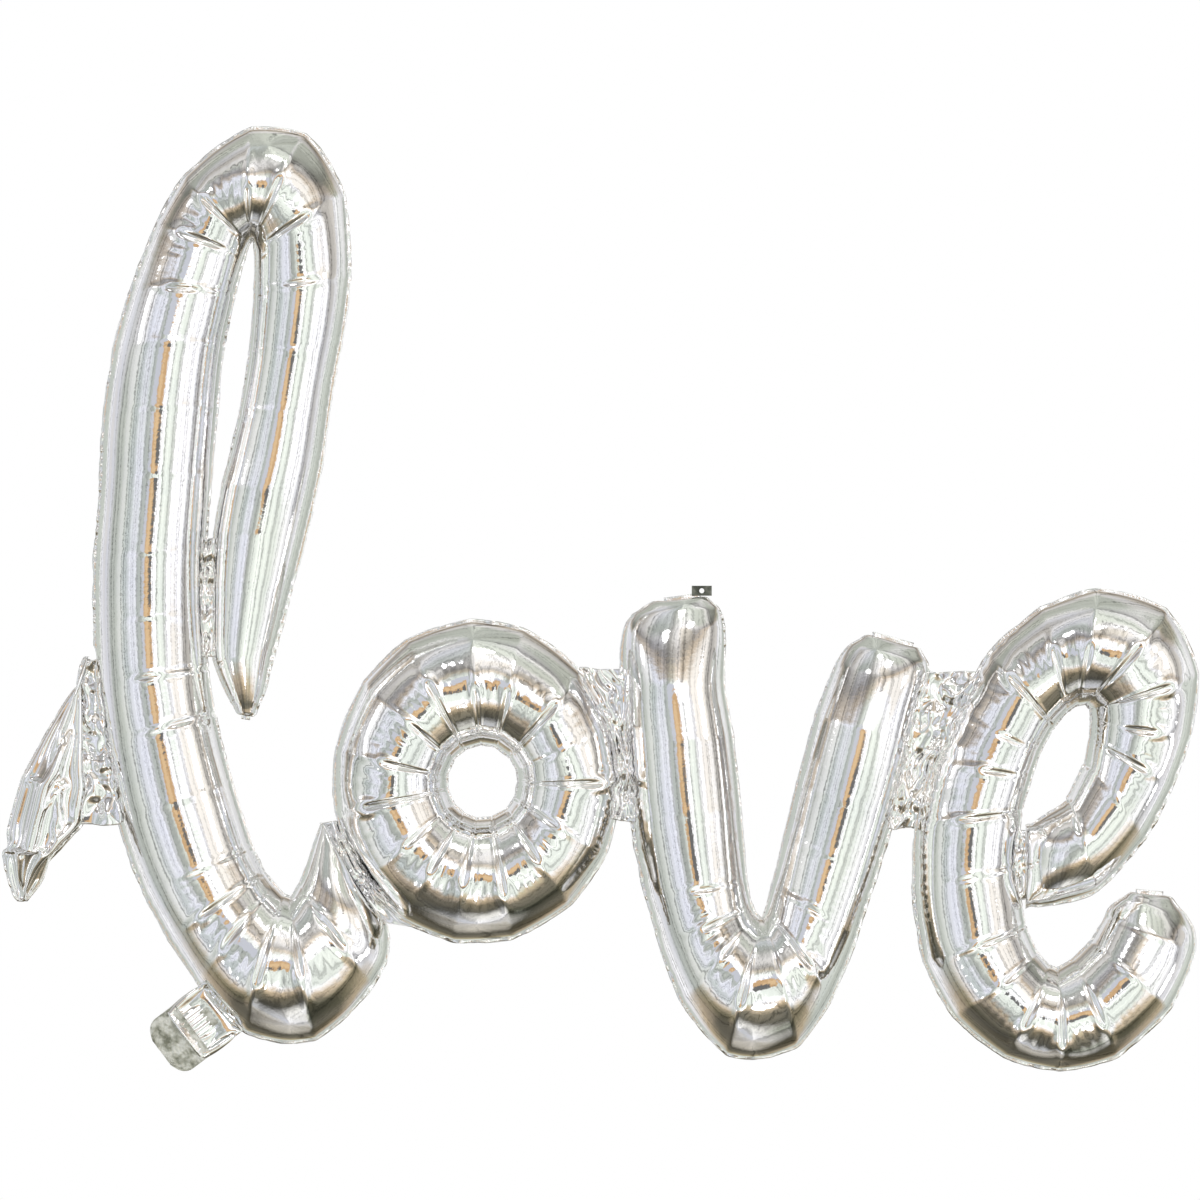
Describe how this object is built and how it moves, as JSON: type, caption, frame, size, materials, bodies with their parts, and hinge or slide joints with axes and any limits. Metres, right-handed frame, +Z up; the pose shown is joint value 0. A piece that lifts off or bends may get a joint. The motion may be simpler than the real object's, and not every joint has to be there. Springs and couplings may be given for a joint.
{
  "type": "script word foil balloon",
  "caption": "Silver foil script-word balloon of linked inflated tube letters, with a fill neck and self-closing valve, for hanging at a party.",
  "frame": {"origin": "bottom centre of the whole word, on the seam plane", "axes": "+X along the word from its first letter to its last, +Z up, the front faces -Y"},
  "size_m": [0.9526, 0.101, 0.7551],
  "materials": {
    "foil": "mirror metallised film",
    "valve_film": "matte translucent film"
  },
  "bodies": {
    "letter_l": {"l_front_foil": "foil", "l_back_foil": "foil", "web_fin": "foil", "web_l_o": "foil"},
    "entry_stroke": {"entry_front_foil": "foil", "entry_back_foil": "foil", "web_entry": "foil"},
    "letter_o": {"o_front_foil": "foil", "o_back_foil": "foil", "web_o_v": "foil"},
    "letter_v": {"v_front_foil": "foil", "v_back_foil": "foil", "web_v_e": "foil", "hang_tab": "foil"},
    "letter_e": {"e_front_foil": "foil", "e_back_foil": "foil", "web_crossbar": "foil"},
    "fill_neck": {"neck_front_foil": "foil", "neck_back_foil": "foil", "valve_film_front": "valve_film", "valve_film_back": "valve_film"},
    "valve_lip_front": {"valve_lip_front": "valve_film"},
    "valve_lip_back": {"valve_lip_back": "valve_film"}
  },
  "joints": [
    {"name": "entry_flap", "type": "hinge", "parent": "letter_l", "child": "entry_stroke", "pos_m": [-0.3995, 0, 0.2948], "axis": [0.148, 0, -0.989], "range_deg": [-15, 15]},
    {"name": "l_o_bend", "type": "hinge", "parent": "letter_l", "child": "letter_o", "pos_m": [-0.1908, 0, 0.1559], "axis": [0.5323, 0, -0.8465], "range_deg": [-25, 25]},
    {"name": "o_v_bend", "type": "hinge", "parent": "letter_o", "child": "letter_v", "pos_m": [0.0228, 0, 0.245], "axis": [0.0605, 0, -0.9982], "range_deg": [-25, 25]},
    {"name": "v_e_bend", "type": "hinge", "parent": "letter_v", "child": "letter_e", "pos_m": [0.2681, 0, 0.25], "axis": [0.2599, 0, 0.9656], "range_deg": [-25, 25]},
    {"name": "neck_fold", "type": "hinge", "parent": "letter_l", "child": "fill_neck", "pos_m": [-0.3043, 0, 0.0465], "axis": [0.6, 0, -0.8], "range_deg": [-60, 60]},
    {"name": "lip_front_open", "type": "hinge", "parent": "fill_neck", "child": "valve_lip_front", "pos_m": [-0.31502, -0.0003, 0.03846], "axis": [0.6, 0, -0.8], "range_deg": [0, 8]},
    {"name": "lip_back_open", "type": "hinge", "parent": "fill_neck", "child": "valve_lip_back", "pos_m": [-0.31502, 0.0003, 0.03846], "axis": [0.6, 0, -0.8], "range_deg": [-8, 0]}
  ]
}
